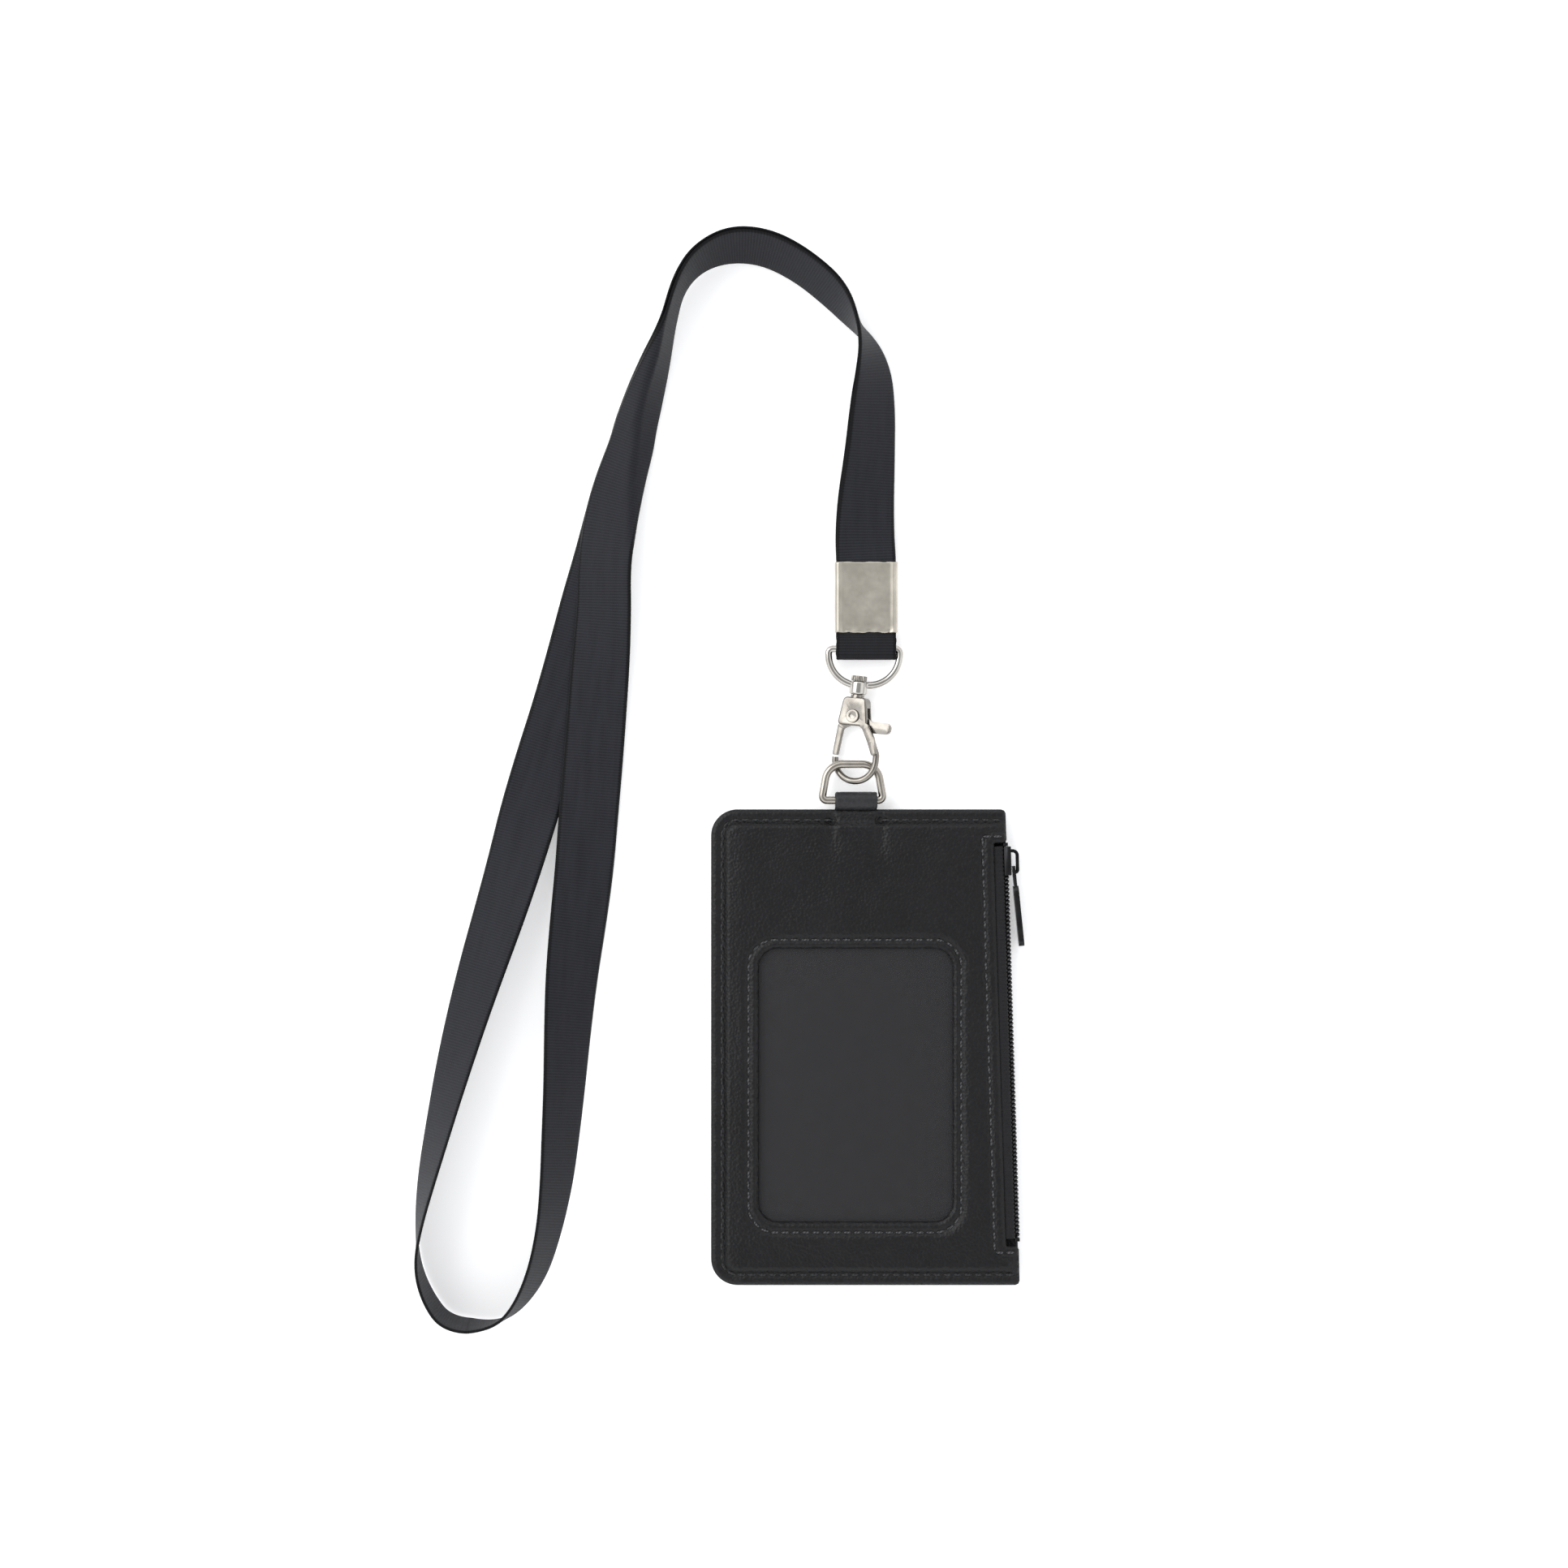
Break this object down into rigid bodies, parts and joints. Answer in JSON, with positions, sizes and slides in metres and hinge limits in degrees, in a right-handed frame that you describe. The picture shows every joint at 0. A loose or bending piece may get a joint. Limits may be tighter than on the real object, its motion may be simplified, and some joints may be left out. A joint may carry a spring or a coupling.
{
  "type": "lanyard badge holder",
  "caption": "Zipped leather badge holder with a clear window, hung by a trigger clasp and swivel ring on a looped flat strap.",
  "frame": {"origin": "centre of the wallet's flat back face, which rests on the table", "axes": "+Z out of the back face towards the window, +Y along the wallet's length towards the ring tab and strap, +X towards the zip"},
  "size_m": [0.1475, 0.2657, 0.0144],
  "materials": {
    "leather": "fine-grained near-black leather, satin",
    "board": "thin stiff board, matte",
    "backing": "smooth dark grey backing, satin",
    "lining": "thin woven lining, matte",
    "foam": "thin soft foam, matte",
    "clear_sheet": "clear flexible sheet, glossy",
    "tab_webbing": "dark grey folded leather tab, matte",
    "zip_tape": "black woven tape, matte",
    "zip_coil": "black nylon coil, satin",
    "dark_metal": "black lacquered metal, worn bright on its edges",
    "satin_nickel": "warm satin nickel plate",
    "bright_nickel": "polished nickel plate",
    "crimp_nickel": "warm satin nickel, slightly dented",
    "spring_steel": "bright wire",
    "ribbon": "dark slate grey woven ribbon with a fine cross rib, matte"
  },
  "bodies": {
    "wallet": {"back_panel": "leather", "back_board": "board", "pocket_lining": "lining", "edge_strip": "leather", "card_backing": "backing", "window_sheet": "clear_sheet", "front_foam": "foam", "front_panel": "leather", "ring_tab": "tab_webbing", "zip_tape_front": "zip_tape", "zip_tape_back": "zip_tape", "zip_coil_front": "zip_coil", "zip_coil_back": "zip_coil", "zip_top_stop": "dark_metal", "zip_bottom_stop": "dark_metal"},
    "slider": {"zip_slider": "dark_metal"},
    "pull": {"pull_tab": "dark_metal"},
    "lower_ring": {"holder_ring": "satin_nickel"},
    "clasp": {"clasp_body": "satin_nickel", "clasp_rivet": "satin_nickel", "gate_spring": "spring_steel", "swivel_post": "satin_nickel"},
    "gate": {"gate_lever": "satin_nickel"},
    "upper_ring": {"swivel_ring": "bright_nickel"},
    "strap": {"crimp": "crimp_nickel", "ribbon_loop": "ribbon", "strand_lower": "ribbon", "strand_upper": "ribbon", "strand_bend": "ribbon"}
  },
  "joints": [
    {"name": "zip_slide", "type": "slide", "parent": "wallet", "child": "slider", "axis": [0.03, -0.9995, 0], "range_m": [0, 0.084]},
    {"name": "pull_hinge", "type": "hinge", "parent": "slider", "child": "pull", "pos_m": [0.0357, 0.04335, 0.0031], "axis": [0, 0, 1], "range_deg": [-3, 130]},
    {"name": "ring_hinge", "type": "hinge", "parent": "wallet", "child": "lower_ring", "pos_m": [-0.0032, 0.05965, 0.00345], "axis": [1, 0, 0], "range_deg": [-80, 80]},
    {"name": "clasp_hinge", "type": "hinge", "parent": "lower_ring", "child": "clasp", "pos_m": [-0.0026, 0.0672, 0.00345], "axis": [1, 0, 0], "range_deg": [-40, 40]},
    {"name": "gate_hinge", "type": "hinge", "parent": "clasp", "child": "gate", "pos_m": [-0.0025, 0.0799, 0.003], "axis": [-0.4045, 0.0425, 0.9135], "range_deg": [0, 14], "stiffness_Nm_per_rad": 0.005, "springref_deg": -22.92},
    {"name": "swivel", "type": "hinge", "parent": "clasp", "child": "upper_ring", "pos_m": [-0.0025, 0.0799, 0.003], "axis": [0.1045, 0.9945, 0], "continuous": true},
    {"name": "strap_hinge", "type": "hinge", "parent": "upper_ring", "child": "strap", "pos_m": [-0.0001, 0.0962, 0.003], "axis": [1, 0, 0], "range_deg": [-70, 70]}
  ]
}
